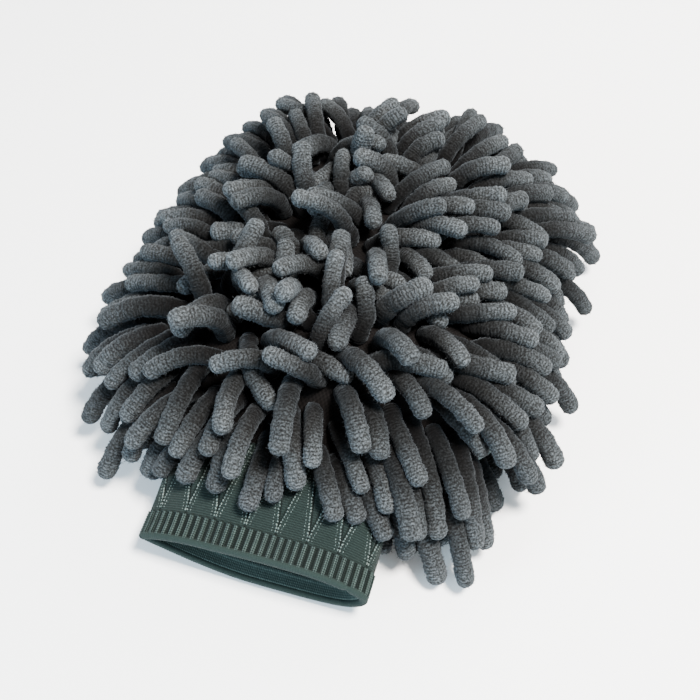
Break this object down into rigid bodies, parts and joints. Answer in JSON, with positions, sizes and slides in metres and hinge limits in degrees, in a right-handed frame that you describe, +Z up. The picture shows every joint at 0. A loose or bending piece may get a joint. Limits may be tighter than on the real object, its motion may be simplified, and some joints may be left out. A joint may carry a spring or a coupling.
{
  "type": "wash mitt",
  "caption": "Soft hand mitt for washing a car: thick chenille noodles over a lined bag, with a stretch knitted cuff that the hand goes in through.",
  "frame": {"origin": "on the resting plane, under the centre of the whole mitt", "axes": "+Z up, +Y from the cuff's mouth to the finger end, +X to the right seam as the cuff faces the viewer"},
  "size_m": [0.2338, 0.2807, 0.089],
  "materials": {
    "chenille_pile": "deep matt chenille, slate grey",
    "backing_cloth": "matt woven cloth",
    "binding_tape": "smooth pale tape",
    "lining_cloth": "smooth knitted lining",
    "sewing_thread": "spun polyester thread",
    "cuff_knit": "stretch knit with a raised lattice",
    "rib_knit": "ribbed stretch knit",
    "cuff_lining_knit": "fine ribbed knit",
    "elastic_thread": "covered elastic thread"
  },
  "bodies": {
    "root": {"upper_backing_cloth": "backing_cloth", "lower_backing_cloth": "backing_cloth", "upper_lining": "lining_cloth", "lower_lining": "lining_cloth", "side_seam_binding": "binding_tape", "side_seam_allowance": "backing_cloth", "side_seam_stitches": "sewing_thread", "upper_row_stitching": "sewing_thread", "lower_row_stitching": "sewing_thread", "cuff_sleeve": "cuff_knit", "cuff_rib_band": "rib_knit", "cuff_folded_rim": "rib_knit", "cuff_inner_ply": "cuff_lining_knit", "cuff_elastic_threads": "elastic_thread", "cuff_joining_stitches": "sewing_thread", "cuff_closing_seam": "cuff_knit", "upper_noodle_row_01": "chenille_pile", "upper_noodle_row_02": "chenille_pile", "upper_noodle_row_03": "chenille_pile", "upper_noodle_row_04": "chenille_pile", "upper_noodle_row_05": "chenille_pile", "upper_noodle_row_06": "chenille_pile", "upper_noodle_row_07": "chenille_pile", "upper_noodle_row_08": "chenille_pile", "upper_noodle_row_09": "chenille_pile", "upper_noodle_row_10": "chenille_pile", "upper_noodle_row_11": "chenille_pile", "upper_noodle_row_12": "chenille_pile", "upper_noodle_row_13": "chenille_pile", "upper_noodle_row_14": "chenille_pile", "upper_noodle_row_15": "chenille_pile", "upper_noodle_row_16": "chenille_pile", "upper_noodle_row_17": "chenille_pile", "lower_noodle_row_01": "chenille_pile", "lower_noodle_row_02": "chenille_pile", "lower_noodle_row_03": "chenille_pile", "lower_noodle_row_04": "chenille_pile", "lower_noodle_row_05": "chenille_pile", "lower_noodle_row_06": "chenille_pile", "lower_noodle_row_07": "chenille_pile", "lower_noodle_row_08": "chenille_pile", "lower_noodle_row_09": "chenille_pile", "lower_noodle_row_10": "chenille_pile", "lower_noodle_row_11": "chenille_pile", "lower_noodle_row_12": "chenille_pile", "lower_noodle_row_13": "chenille_pile", "lower_noodle_row_14": "chenille_pile", "lower_noodle_row_15": "chenille_pile", "lower_noodle_row_16": "chenille_pile"}
  },
  "joints": []
}
